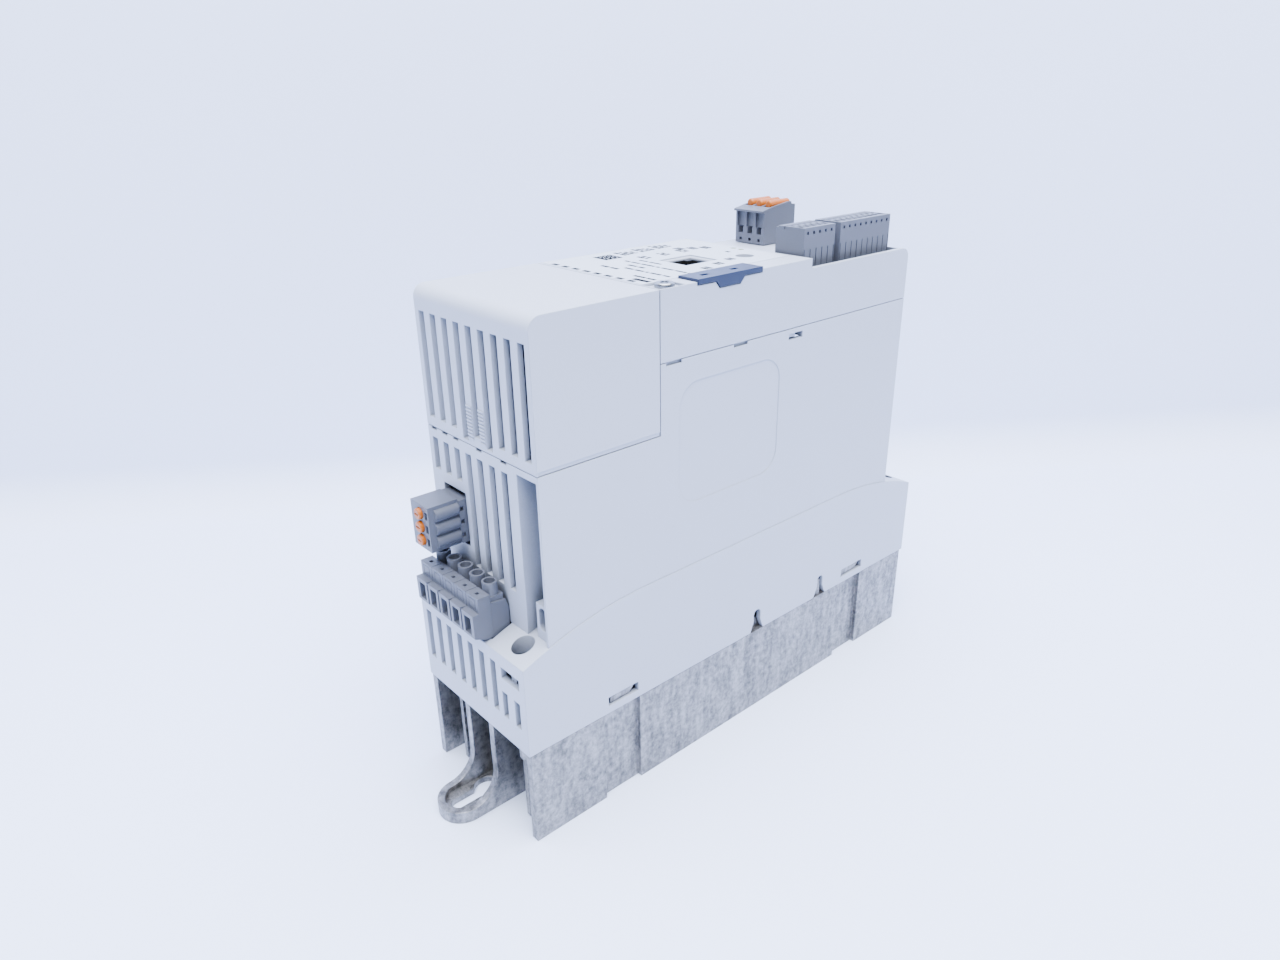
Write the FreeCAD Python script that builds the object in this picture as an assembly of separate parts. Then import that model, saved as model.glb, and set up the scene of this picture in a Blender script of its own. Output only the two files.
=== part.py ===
"""Cabinet servo drive, lying on its back: heat sink below, front face up.

Millimetres. While a piece is built, X is the station along the housing from
the mains end, Y is measured from the centre plane and Z from the rear mounting
plane. save() moves every piece to the shared frame, whose origin is the middle
of the rear mounting plane.
"""
import FreeCAD, Part
import math
import os

V = FreeCAD.Vector

# Whole body
LENGTH = 221.5                # base housing, end to end
HALF_W = 33.5                 # half the overall width
PANEL_HALF = 33.2             # half width of the housings above the base
WALL = 2.0                    # moulded wall
GAP = 0.3                     # clearance between pieces that come apart
PITCH = 7.24                  # grille slot spacing
SLOT_W = 3.6                  # grille slot width
SLOT_Y = 28.96                # first grille slot, from the centre plane

# Heat sink
SINK_X = (0.7, 219.6)
SINK_TOP = 38.3               # top of the outer walls
DECK = (36.4, 43.0)           # cooling plate, bottom and top
DECK_INSET = 6.0
SINK_WALL = 3.2
RIB_Y = 8.0                   # centre of the ribs that carry the fixing lugs
RIB_T = 2.8
LUG_R = RIB_Y + RIB_T / 2     # outer radius of the lug's end
LUG_TIP = -19.0
LUG_RIM = 5.0
LUG_WEB = 2.5
HEAD_R = 5.5                  # keyhole, the part a screw head passes
SEAT_R = 2.7                  # keyhole, the part an M5 shank sits in
HEAD_X = 1.3
SEAT_X = -11.8
FAR_LUG_SHIFT = 0.4           # makes up for the tip that the open slot cuts away
FAR_SEAT_X = 232.0            # closed end of the open slot in the far lug
PE_X = 7.0                    # earth screw, from its end of the base
EARTH_X = (PE_X, LENGTH - PE_X)
PE_Y = -23.9
PE_BOSS_TOP = 60.0
GUIDE_R = 5.0                 # screwdriver guide above each earth screw
GUIDE_BORE_R = 4.1
GUIDE_Z = 70.4

# Base housing
BASE_Z = 38.4
SNAP_SLOT_X = ((35.4, 49.8), (172.8, 188.0))
SNAP_SLOT_Z = (41.4, 45.2)
CURVE_X = 54.0                # the side edge is level between the two arcs
CURVE_Z = 84.35
CURVE_R = 144.0
LEDGE_T = 2.4
NEAR_X = 10.9                 # mains end of the housings above the base
FAR_X = 201.4

# Housings above the base
SPLIT_X = 62.1                # hood on one side, control unit on the other
HOOD_Z = 139.76
HOOD_TOP = 189.2
UNIT_Z = 164.9
STEP_X = 138.5                # front face steps down to the plug bay here
STEP_Z = 185.6
BAY_Z = 181.0
BAY_Y = -12.5
BOARD_Z = 70.0                # power board underside
BOARD_T = 1.6
CONTROL_BOARD_Z = 170.6
POSTS = [(25, -25), (25, 25), (196, -25), (196, 25)]
CAN_X = (78, 107, 136, 165)   # link capacitors
CAN_Y = 13.5
CAN_TOP = 123.0

# Front face
CORNER_SCREW = (69.1, -27.8)
JACK_X = (98.4, 110.9)
JACK_Y = (-7.9, 2.9)
JACK_LIP = 1.0                # housing's mouth round the port, on each side
MODULE_X = (78.8, 111.1)
MODULE_Y = -23.5
DIAL = (125.4, -11.5)
LED_SPOTS = [(134.7, 2.9), (134.7, -1.1)]

# Mains and motor terminals
POLE = 7.62
MAINS_Y = 7.55                # centre of the mains block
SCREW_X = 5.8                 # clamp screw axis, from the near end
SCREW_TOP = 92.4
SCREW_HEAD_R = 1.9
TOWER_R = 2.7
TOWER_TOP = 95.0
CAGE_X = (2.9, 8.7)
CAGE_Z = (77.0, 85.0)
CAGE_TRAVEL = 2.0
LEG_X = 9.1                   # solder legs of the contacts
CLAMP_FACE = -1.6             # upright face above the wire mouths
CLAMP_TOP = 92.0

# Plugs
IO_PITCH = 3.5
IO_Y = (-27.5, -13.8)
IO_CENTRE_Y = sum(IO_Y) / 2
IO_TOP = 199.1
PIN_Z = 188.0
RELAY_X = (162.8, 182.1)
RELAY_Y = 19.85
RELAY_PIN_X = 176.0
RELAY_UNDER = STEP_Z + 0.3
PLUG_PITCH = 5.08
AUX_Y = (12.1, 25.5)
AUX_Z = 108.8
AUX_FRONT = -3.2
AUX_REAR = 12.4
AUX_BUTTON_Y = 19.4
AUX_PIN_Y = 22.0


def box(x, y, z):
    """Box from three (low, high) pairs."""
    size = [high - low for low, high in (x, y, z)]
    return Part.makeBox(size[0], size[1], size[2], V(x[0], y[0], z[0]))


def mid(centre, width):
    """(low, high) pair of a width about a centre."""
    return (centre - width / 2, centre + width / 2)


def rod_z(x, y, z, r):
    return Part.makeCylinder(r, z[1] - z[0], V(x, y, z[0]), V(0, 0, 1))


def rod_x(x, y, z, r):
    return Part.makeCylinder(r, x[1] - x[0], V(x[0], y, z), V(1, 0, 0))


def prism_y(points, y):
    """Polygon of (x, z) points, drawn out along Y."""
    wire = Part.makePolygon([V(px, y[0], pz) for px, pz in points + points[:1]])
    return Part.Face(wire).extrude(V(0, y[1] - y[0], 0))


def join(shapes):
    whole = shapes[0].multiFuse(shapes[1:])
    return whole.removeSplitter()


def carve(shape, tools):
    return shape.cut(tools)


def mirrored(shape):
    """The same shape at the far end."""
    return shape.mirror(V(LENGTH / 2, 0, 0), V(1, 0, 0))


def save(name, shape):
    placed = shape.copy()
    placed.translate(V(-LENGTH / 2, 0, 0))
    placed.exportStep(os.path.join("parts", name + ".step"))
    print(name, len(placed.Solids), round(placed.Volume / 1000, 2), "cm3", placed.isValid())


# ---------------------------------------------------------------- heat sink

def lug_outline(z, inset):
    """Tongue with a round end, in plan, its sides inset from the outer face."""
    r = LUG_R - inset
    centre = LUG_TIP + LUG_R
    root = 14.0
    return join([box((centre, root), (-r, r), z), rod_z(centre, 0, z, r)])


def lug_gusset(y):
    """Rib edge that sweeps from the end of the body down to the lug's rim."""
    sweep = 11.0
    top = LUG_RIM + sweep
    face = SINK_X[0]
    tip = face - sweep
    bend = V(tip + sweep * math.sin(math.pi / 4), y[0], top - sweep * math.cos(math.pi / 4))
    arc = Part.Arc(V(face, y[0], top), bend, V(tip, y[0], LUG_RIM)).toShape()
    rest = Part.makePolygon([V(tip, y[0], LUG_RIM), V(tip, y[0], 0.5),
                             V(face + 3, y[0], 0.5), V(face + 3, y[0], top), V(face, y[0], top)])
    wire = Part.Wire([arc] + rest.Edges)
    return Part.Face(wire).extrude(V(0, y[1] - y[0], 0))


def lug():
    rim = carve(lug_outline((0, LUG_RIM), 0), [lug_outline((LUG_WEB, LUG_RIM + 1), RIB_T)])
    gussets = [lug_gusset(mid(side * RIB_Y, RIB_T)) for side in (-1, 1)]
    return join([rim] + gussets)


def snap_nose(slot, side):
    """Cast nose that the base housing's slot snaps over, sloped at its far lower corner."""
    low, high = SNAP_SLOT_Z[0] + 0.4, SNAP_SLOT_Z[1] - 0.3
    near, far = slot[0] + 1.5, slot[1] - 1.6
    outline = [(near, low), (near, high), (far, high), (far - 0.6, high - 1.4), (far - 2.6, low)]
    reach = (30.0, 32.6) if side > 0 else (-32.6, -30.0)
    return prism_y(outline, reach)


def heat_sink():
    fins = [(31.9, SINK_WALL, 0.0, 0.0), (21.5, 2.0, 4.6, 1.0), (RIB_Y, RIB_T, 0.0, 0.0),
            (26.8, 1.6, 45.0, 1.0), (14.8, 1.6, 45.0, 1.0)]
    deck_x = (SINK_X[0] + DECK_INSET, SINK_X[1] - DECK_INSET)
    pieces = [box(deck_x, (-30.8, 30.8), DECK)]
    for y, thick, inset, foot in fins:
        run = (SINK_X[0] + inset, SINK_X[1] - inset)
        for side in (-1, 1):
            pieces.append(box(run, mid(side * y, thick), (foot, SINK_TOP)))
    pieces.append(box((46, 174), mid(0, 1.6), (1.0, SINK_TOP)))
    pieces.append(box((70, 150), (-16, 16), (DECK[0], 57.5)))
    for x, y in POSTS:
        pieces.append(rod_z(x, y, (DECK[0], BOARD_Z - 0.1), 3.5))
    for x in EARTH_X:
        pieces.append(rod_z(x, PE_Y, (30.0, PE_BOSS_TOP), 4.2))
        pieces.append(box(mid(x, 7.0), (-31.0, PE_Y), (30.0, DECK[1])))
    for side in (-1, 1):
        pieces.append(box((156, 158.4), mid(side * 31.6, 2.0), (36.4, 46.0)))
        pieces += [snap_nose(x, side) for x in SNAP_SLOT_X]
    far_lug = mirrored(lug())
    far_lug.translate(V(FAR_LUG_SHIFT, 0, 0))
    pieces += [lug(), far_lug]
    body = join(pieces)
    cuts = []
    for x in ((33.0, 50.5), (170.9, 187.5)):
        for side in (-1, 1):
            cuts.append(box(x, mid(side * HALF_W, 3.6), (-1, SINK_TOP + 0.01)))
    hole = (-1, LUG_RIM + 1)
    cuts.append(rod_z(HEAD_X, 0, hole, HEAD_R))
    cuts.append(rod_z(SEAT_X, 0, hole, SEAT_R))
    cuts.append(box((SEAT_X, HEAD_X), (-SEAT_R, SEAT_R), hole))
    cuts.append(rod_z(FAR_SEAT_X, 0, hole, SEAT_R))
    cuts.append(box((FAR_SEAT_X, LENGTH + 30), (-SEAT_R, SEAT_R), hole))
    for x in EARTH_X:
        cuts.append(rod_z(x, PE_Y, (PE_BOSS_TOP - 10, PE_BOSS_TOP + 1), 2.05))
    for x, y in POSTS:
        cuts.append(rod_z(x, y, (BOARD_Z - 9, BOARD_Z), 1.55))
    return carve(body, cuts)


# ------------------------------------------------------------- base housing

def curved_block(drop, x, y, z0):
    """Block whose top follows the base's edge curve, lowered by drop."""
    top = CURVE_Z - drop
    ends = top - (CURVE_R - math.sqrt(CURVE_R ** 2 - CURVE_X ** 2))
    half = CURVE_X / 2
    sag = top - (CURVE_R - math.sqrt(CURVE_R ** 2 - half ** 2))
    near = Part.Arc(V(0, y[0], ends), V(half, y[0], sag), V(CURVE_X, y[0], top)).toShape()
    far = near.mirror(V(LENGTH / 2, 0, 0), V(1, 0, 0))
    level = Part.makeLine(V(CURVE_X, y[0], top), V(LENGTH - CURVE_X, y[0], top))
    rest = Part.makePolygon([V(LENGTH, y[0], ends), V(LENGTH, y[0], z0), V(0, y[0], z0), V(0, y[0], ends)])
    wire = Part.Wire(Part.__sortEdges__([near, level, far] + rest.Edges))
    whole = Part.Face(wire).extrude(V(0, y[1] - y[0], 0))
    return whole.common(box(x, y, (z0, top + 1)))


def base_key(x, width, flare):
    """Keyhole notch in both side walls, flared at the bottom edge."""
    deep = HALF_W + 1
    notch = [box(mid(x, width), (-deep, deep), (BASE_Z - 1, 46.4))]
    notch.append(Part.makeCylinder(width / 2, 2 * deep, V(x, -deep, 46.4), V(0, 1, 0)))
    points = [(x - flare / 2, BASE_Z - 1), (x + flare / 2, BASE_Z - 1),
              (x + width / 2, 43.2), (x - width / 2, 43.2)]
    notch.append(prism_y(points, (-deep, deep)))
    return notch


def base_housing():
    shell = curved_block(0, (0, LENGTH), (-HALF_W, HALF_W), BASE_Z)
    inner = HALF_W - 2.2
    cuts = [curved_block(LEDGE_T, (2.2, LENGTH - 2.2), (-inner, inner), BASE_Z - 1)]
    cuts.append(box((20.8, FAR_X - 0.1), (-inner, inner), (60, 90)))
    cuts.append(box((NEAR_X + 0.1, 21), (-20.0, inner), (60, 90)))
    for end in (0, LENGTH):
        reach = mid(end, 6.0)
        for i in range(7):
            cuts.append(box(reach, mid(SLOT_Y - 0.2 - PITCH * i, 3.4), (48.2, 68.9)))
        for y in (-20.9, -28.3):
            cuts.append(box(reach, mid(y, 3.2), (48.0, 58.6)))
        cuts.append(box(reach, (-30.4, -19.6), (64.2, 68.6)))
    for x in SNAP_SLOT_X:
        cuts.append(box(x, (-HALF_W - 1, HALF_W + 1), SNAP_SLOT_Z))
    cuts += base_key(115.8, 4.1, 8.6)
    cuts += base_key(157.3, 3.7, 8.8)
    for x in EARTH_X:
        cuts.append(rod_z(x, PE_Y, (66, 90), GUIDE_BORE_R))
    cuts.append(box((2.4, NEAR_X + 1), mid(MAINS_Y, 5 * POLE + 0.6), (66, 90)))
    cuts.append(box((LENGTH - NEAR_X, LENGTH - 2.4), mid(MAINS_Y, 4 * POLE + 0.6), (66, 90)))
    shell = carve(shell, cuts)
    below_edge = curved_block(LEDGE_T / 2, (0, LENGTH), (-30, 0), BASE_Z)
    guides = []
    for x in EARTH_X:
        tube = rod_z(x, PE_Y, (GUIDE_Z, CURVE_Z), GUIDE_R).common(below_edge)
        guides.append(carve(tube, [rod_z(x, PE_Y, (GUIDE_Z - 1, CURVE_Z), GUIDE_BORE_R)]))
    hook = box((2.0, 3.0), (-26.0, -23.0), (62.5, 67.4))
    shelf = box((1.5, 3.0), (-30.6, -19.4), (61.4, 63.0))
    return join([shell, hook, shelf, mirrored(hook), mirrored(shelf)] + guides)


# ------------------------------------------------------- housings above it

def grille_cuts(face, lows, high):
    """Row of upright slots through an end wall; one low edge per slot."""
    cuts = []
    for i, low in enumerate(lows):
        if low is not None:
            cuts.append(box(mid(face, 8.0), mid(SLOT_Y - PITCH * i, SLOT_W), (low, high)))
    return cuts


def side_recess(side):
    """Shallow rounded field pressed into a side wall."""
    x = (71.0, 123.0)
    z = (110.0, 155.6)
    r = 9.0
    depth = 0.25
    block = box(x, mid(side * PANEL_HALF, 2 * depth), z)
    edges = [e for e in block.Edges if abs(e.tangentAt(e.FirstParameter).y) > 0.9]
    return block.makeFillet(r, edges)


def main_housing():
    half = PANEL_HALF
    top_near = HOOD_Z - GAP
    top_far = UNIT_Z - GAP
    split = SPLIT_X + 0.2
    outer = join([box((NEAR_X, FAR_X), (-half, half), (70, top_near)),
                  box((split, FAR_X), (-half, half), (top_near - 1, top_far))])
    hollow = [box((NEAR_X + WALL, FAR_X - WALL), (-half + WALL, half - WALL), (60, top_near + 1)),
              box((split + WALL, FAR_X - WALL), (-half + WALL, half - WALL), (top_near - 2, top_far + 1))]
    shell = carve(outer, hollow)
    channel = box((NEAR_X, 22.2), (-half + 1, -20.1), (76, 138.8))
    deck = box((split + 1, FAR_X - 1), (-half + 1, half - 1), (160.6, 162.4))
    shell = join([shell, channel, deck])
    shell = carve(shell, [curved_block(0, (0, LENGTH), (-HALF_W, HALF_W), BASE_Z)])
    tongues = [box((22.8, FAR_X - WALL), mid(side * 30.3, 1.8), (68, 92)) for side in (-1, 1)]
    boss = box((12.2, 21), (-32.2, -25.6), (77.9, 91.8))
    boss = boss.cut(curved_block(0, (0, LENGTH), (-HALF_W, HALF_W), BASE_Z))
    cuts = grille_cuts(NEAR_X, [123.5, 123.5, 123.5, 92, 92, 92, 92], 135.6)
    cuts += grille_cuts(FAR_X, [96] * 9, 156)
    cuts.append(box((NEAR_X - 1, 20.5), (-32.2, -21.6), (70, 137.2)))
    cuts.append(box(mid(NEAR_X, 8), (11.5, 25.9), (98.8, 119.5)))
    for i in (0, 1, 2, 4, 6):
        cuts.append(box(mid(NEAR_X, 8), mid(SLOT_Y - PITCH * i, SLOT_W), (top_near - 0.9, top_near + 1)))
    for side in (-1, 1):
        cuts.append(side_recess(side))
        cuts.append(box((127.2, 135.2), mid(side * half, 8), (160.5, 162.8)))
        for x in (68.4, 100.9):
            cuts.append(box(mid(x, 7.2), mid(side * half, 2.0), (top_far - 1.1, top_far + 1)))
    for i in range(7):
        for y in (-17, 17):
            cuts.append(box(mid(82 + 17 * i, 3.6), mid(y, 22), (160, 163)))
    for i in range(5):
        cuts.append(box(mid(split, 8), mid(-24 + 12 * i, 3.6), (143, 158)))
    cuts.append(box((20, 22.8), (-31, -20.2), (60, 92)))
    shell = carve(shell, cuts)
    mouth = join([box((10, 23), mid(-29.1, 4.2), (84.0, 88.6)),
                  Part.makeCylinder(2.1, 13, V(10, -29.1, 84.0), V(1, 0, 0)),
                  Part.makeCylinder(2.1, 13, V(10, -29.1, 88.6), V(1, 0, 0))])
    shell = join([shell] + tongues + [boss])
    shell = carve(shell, [mouth])
    latches = [box((127.6, 131.6), mid(side * 31.6, 1.6), (161.3, 163.2)) for side in (-1, 1)]
    return join([shell] + latches)


def vent_hood():
    half = PANEL_HALF
    end = SPLIT_X - 0.2
    radius = 4.6
    block = box((NEAR_X, end), (-half, half), (HOOD_Z, HOOD_TOP))
    edges = [e for e in block.Edges
             if abs(e.CenterOfMass.x - NEAR_X) < 0.01 and abs(e.CenterOfMass.z - HOOD_TOP) < 0.01]
    block = block.makeFillet(radius, edges)
    inside = box((NEAR_X + WALL, end + 1), (-half + WALL, half - WALL), (HOOD_Z - 1, HOOD_TOP - WALL))
    edges = [e for e in inside.Edges
             if abs(e.CenterOfMass.x - NEAR_X - WALL) < 0.01 and abs(e.CenterOfMass.z - HOOD_TOP + WALL) < 0.01]
    inside = inside.makeFillet(radius - WALL, edges)
    lows = [143.3] * 9
    lows[3] = 140.9
    lows[5] = 140.9
    cuts = [inside] + grille_cuts(NEAR_X, lows, 180.8)
    for side in (-1, 1):
        cuts.append(box((NEAR_X + 0.4, end + 1), mid(side * half, 0.6), (HOOD_Z - 1, HOOD_Z + 1.3)))
    block = carve(block, cuts)
    grips = []
    for i in range(10):
        for y in (-PITCH / 2, PITCH / 2):
            z = 142.0 + 1.25 * i
            grips.append(box((NEAR_X - 0.35, NEAR_X + 0.2), mid(y, 3.3), (z, z + 0.6)))
    return join([block] + grips)


def bevelled_mouth(x, y, z, grow):
    """Square funnel that widens by grow on each side towards the top."""
    low = Part.makePolygon([V(x[0], y[0], z[0]), V(x[1], y[0], z[0]), V(x[1], y[1], z[0]),
                            V(x[0], y[1], z[0]), V(x[0], y[0], z[0])])
    high = Part.makePolygon([V(x[0] - grow, y[0] - grow, z[1]), V(x[1] + grow, y[0] - grow, z[1]),
                             V(x[1] + grow, y[1] + grow, z[1]), V(x[0] - grow, y[1] + grow, z[1]),
                             V(x[0] - grow, y[0] - grow, z[1])])
    return Part.makeLoft([low, high], True, True)


def control_housing():
    half = PANEL_HALF
    near = SPLIT_X + 0.2
    outer = join([box((near, STEP_X), (-half, half), (UNIT_Z, HOOD_TOP)),
                  box((STEP_X - 1, FAR_X), (-half, half), (UNIT_Z, STEP_Z))])
    edges = [e for e in outer.Edges
             if abs(e.CenterOfMass.x - FAR_X) < 0.01 and abs(e.CenterOfMass.z - STEP_Z) < 0.01]
    outer = outer.makeFillet(4.0, edges)
    slope = prism_y([(STEP_X - 1, STEP_Z - 1), (STEP_X - 1, HOOD_TOP), (STEP_X, HOOD_TOP),
                     (STEP_X + 9, STEP_Z), (STEP_X + 9, STEP_Z - 1)], (BAY_Y, half - WALL))
    outer = join([outer, slope])
    wide = (-half + WALL, half - WALL)
    cuts = [box((near + WALL, FAR_X - WALL), wide, (UNIT_Z - 1, BAY_Z - 2)),
            box((near + WALL, STEP_X - 1.5), wide, (BAY_Z - 3, HOOD_TOP - 2.2)),
            box((STEP_X + 1, FAR_X - WALL), (BAY_Y + 1.5, half - WALL), (BAY_Z - 3, STEP_Z - 2.2)),
            box((STEP_X + 0.8, FAR_X - WALL), (-half + WALL, BAY_Y), (BAY_Z, STEP_Z + 1))]
    cuts.append(box((63.4, 137.4), (-23.2, 32.2), (HOOD_TOP - 0.4, HOOD_TOP + 1)))
    mouth_x, mouth_y = [(low - JACK_LIP, high + JACK_LIP) for low, high in (JACK_X, JACK_Y)]
    cuts.append(bevelled_mouth(mouth_x, mouth_y, (HOOD_TOP - 0.9, HOOD_TOP), 0.8))
    cuts.append(box(mouth_x, mouth_y, (HOOD_TOP - 4, HOOD_TOP - 0.8)))
    cuts.append(box((63.0, 74.0), (-32.6, -23.2), (HOOD_TOP - 0.9, HOOD_TOP + 1)))
    cuts.append(rod_z(*CORNER_SCREW, (HOOD_TOP - 4, HOOD_TOP), 1.7))
    cuts.append(box(MODULE_X, (-half - 1, MODULE_Y), (188.0, HOOD_TOP + 1)))
    tab = [(87.2, 188.5), (102.4, 188.5), (99.9, 185.7), (89.3, 185.7)]
    cuts.append(prism_y(tab, (-half - 1, MODULE_Y - 1)))
    cuts.append(box((80.6, 109.3), (-31.0, MODULE_Y - 0.6), (183, HOOD_TOP)))
    for x, y in LED_SPOTS:
        cuts.append(rod_z(x, y, (HOOD_TOP - 4, HOOD_TOP), 1.1))
    cuts.append(rod_z(DIAL[0], DIAL[1], (HOOD_TOP - 1.2, HOOD_TOP), 3.4))
    for x in ((140.6, 157.9), (162.5, 193.8)):
        cuts.append(box(x, (-26.4, -14.9), (BAY_Z - 3, BAY_Z + 1)))
    cuts.append(box((RELAY_X[0] + 2, RELAY_X[1] - 2), mid(RELAY_Y, 13), (STEP_Z - 4, STEP_Z + 1)))
    body = carve(outer, cuts)
    well = join([box((79.2, 110.7), (-32.2, MODULE_Y + 0.9), (173, 187.6)),
                 box((64.9, 73.2), (-32.2, -23.6), (176, 187.6))])
    well = carve(well, [box((80.6, 109.3), (-31.0, MODULE_Y - 0.6), (174.2, HOOD_TOP)),
                        rod_z(*CORNER_SCREW, (177.5, HOOD_TOP), 1.7)])
    body = join([body, well])
    return carve(body, [prism_y(tab, (-half - 1, MODULE_Y - 1))])


def front_panel():
    plate = box((63.6, 137.2), (-23.0, 32.0), (HOOD_TOP - 0.35, HOOD_TOP + 0.05))
    cuts = [box((JACK_X[0] - 1.9, JACK_X[1] + 1.9), (JACK_Y[0] - 1.9, JACK_Y[1] + 1.9), (188, 190)),
            rod_z(DIAL[0], DIAL[1], (188, 190), 3.5)]
    for x, y in LED_SPOTS:
        cuts.append(rod_z(x, y, (188, 190), 1.25))
    return carve(plate, cuts)


def memory_module():
    cap = box((MODULE_X[0] + 0.3, MODULE_X[1] - 0.3), (-HALF_W, MODULE_Y - 0.3), (188.3, 190.1))
    tab = prism_y([(87.5, 188.5), (102.1, 188.5), (99.6, 186.0), (89.6, 186.0)], (-HALF_W, -31.0))
    body = box((81.0, 108.9), (-30.7, MODULE_Y - 0.9), (175.0, 188.4))
    cuts = [box(mid(x, 3.4), mid(-29.0, 1.7), (189.0, 191)) for x in (86.3, 100.6)]
    cuts.append(box((84, 106), mid(-27.6, 2.4), (174, 181)))
    return carve(join([cap, tab, body]), cuts)


def pan_screw(x, y, under, head_r, head_h, shank_r, depth):
    """Pan-head cross-recess screw standing on the level given."""
    head = rod_z(x, y, (under, under + head_h), head_r)
    rim = [e for e in head.Edges if abs(e.CenterOfMass.z - under - head_h) < 0.01]
    head = head.makeFillet(head_h * 0.45, rim)
    screw = join([head, rod_z(x, y, (under - depth, under + 0.1), shank_r)])
    long, thin = head_r * 1.1, head_r * 0.28
    z = (under + head_h * 0.35, under + head_h + 1)
    return carve(screw, [box(mid(x, long), mid(y, thin), z), box(mid(x, thin), mid(y, long), z)])


def slot_screw(x, y, top, head_r, head_h, shank_r, tip):
    """Cheese-head slotted clamp screw from its head's top down to its tip."""
    screw = join([rod_z(x, y, (top - head_h, top), head_r), rod_z(x, y, (tip, top - head_h + 0.1), shank_r)])
    return carve(screw, [box(mid(x, 0.7), mid(y, 2 * head_r + 1), (top - 1.0, top + 1))])


# ------------------------------------------------------------ circuit boards

def power_board():
    board = box((3.6, LENGTH - 3.6), (-28.6, 28.6), (BOARD_Z, BOARD_Z + BOARD_T))
    cuts = []
    for x in EARTH_X:
        cuts.append(box(mid(x, 10.6), (-29, PE_Y + 5.4), (BOARD_Z - 1, BOARD_Z + 3)))
    for x, y in POSTS:
        cuts.append(rod_z(x, y, (BOARD_Z - 1, BOARD_Z + 3), 1.7))
    cuts += leg_holes(5)
    cuts += [mirrored(hole) for hole in leg_holes(4)]
    return carve(board, cuts)


def leg_holes(count):
    """Holes for the terminal contacts' solder legs."""
    return [box(mid(LEG_X, 1.2), mid(pole, 2.4), (BOARD_Z - 1, BOARD_Z + 3)) for pole in pole_centres(count)]


def board_screws():
    top = BOARD_Z + BOARD_T
    return Part.makeCompound([pan_screw(x, y, top, 2.9, 2.2, 1.45, 8) for x, y in POSTS])


def power_module():
    return box((82, 138), (-14, 14), (57.6, BOARD_Z - 0.05))


def link_capacitors():
    cans = []
    for x in CAN_X:
        can = rod_z(x, CAN_Y, (BOARD_Z + BOARD_T, CAN_TOP), 13)
        rim = [e for e in can.Edges if abs(e.CenterOfMass.z - CAN_TOP) < 0.01]
        can = can.makeFillet(1.2, rim)
        cans.append(carve(can, [rod_z(x, CAN_Y, (CAN_TOP - 0.4, CAN_TOP + 1), 10.5)]))
    return Part.makeCompound(cans)


def emc_choke():
    ring = Part.makeTorus(10.5, 5.0, V(40, -10, BOARD_Z + BOARD_T + 6.2), V(0, 0, 1))
    base = rod_z(40, -10, (BOARD_Z + BOARD_T, BOARD_Z + BOARD_T + 2.4), 13)
    return join([ring, base])


def riser_board():
    board = box((56.0, 57.6), (-26, 29.0), (BOARD_Z + BOARD_T, 184))
    parts = [box((48, 56.1), mid(y, 9), z) for y, z in
             ((24, (150, 181)), (12, (150, 172)), (24, (120, 144)), (-2, (150, 178)), (-16, (118, 150)))]
    return join([board] + parts)


def control_board():
    board = box((66, 197), (-22.6, 30.4), (CONTROL_BOARD_Z, CONTROL_BOARD_Z + BOARD_T))
    socket = box((150, 176), (0, 8), (165.6, CONTROL_BOARD_Z + 0.1))
    board = join([board, socket, box((118, 136), (-6, 12), (CONTROL_BOARD_Z, 174.6))])
    return carve(board, [box((151, 175), (2.6, 5.4), (165, 169.6))])


def link_connector():
    base = box((150, 176), (0, 8), (162.4, 165.2))
    pins = [box(mid(153 + 2.54 * i, 0.8), mid(4, 0.8), (164, 169)) for i in range(9)]
    return join([base] + pins)


def rj45_jack():
    x = (JACK_X[0] - 1.6, JACK_X[1] + 1.6)
    y = (JACK_Y[0] - 1.8, JACK_Y[1] + 1.8)
    lip = JACK_LIP - 0.2
    nose_x, nose_y = [(low - lip, high + lip) for low, high in (JACK_X, JACK_Y)]
    body = join([box(x, y, (CONTROL_BOARD_Z + BOARD_T, 186.8)), box(nose_x, nose_y, (186.0, HOOD_TOP - 1.2))])
    cavity = box((JACK_X[0] + 0.3, JACK_X[1] - 0.3), (JACK_Y[0] + 0.6, JACK_Y[1] - 1.6), (174.5, HOOD_TOP))
    key = box(mid(sum(JACK_X) / 2, 6.2), (JACK_Y[1] - 1.7, JACK_Y[1]), (174.5, HOOD_TOP))
    body = carve(body, [cavity, key])
    contacts = [box(mid(100.2 + 1.27 * i, 0.45), (JACK_Y[0] + 0.5, JACK_Y[0] + 1.2), (175, 185)) for i in range(8)]
    return join([body] + contacts)


def status_leds():
    lamps = [rod_z(x, y, (HOOD_TOP - 4.5, HOOD_TOP - 0.1), 1.0) for x, y in LED_SPOTS]
    return Part.makeCompound(lamps)


# ------------------------------------------------------------------- plugs

def pin_row(x0, count, pitch, y, z):
    return [box(mid(x0 + pitch * i, 1.0), mid(y, 1.0), z) for i in range(count)]


def io_start(x0):
    """First pole of a control plug whose left face is at x0."""
    return x0 + 0.5 + IO_PITCH / 2


def io_header(x0, count):
    long = count * IO_PITCH + 1.0
    base = box((x0 + 0.9, x0 + long - 0.9), (-26.1, -15.2), (CONTROL_BOARD_Z + BOARD_T, BAY_Z + 0.2))
    return join([base] + pin_row(io_start(x0), count, IO_PITCH, IO_CENTRE_Y, (BAY_Z, PIN_Z)))


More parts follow.
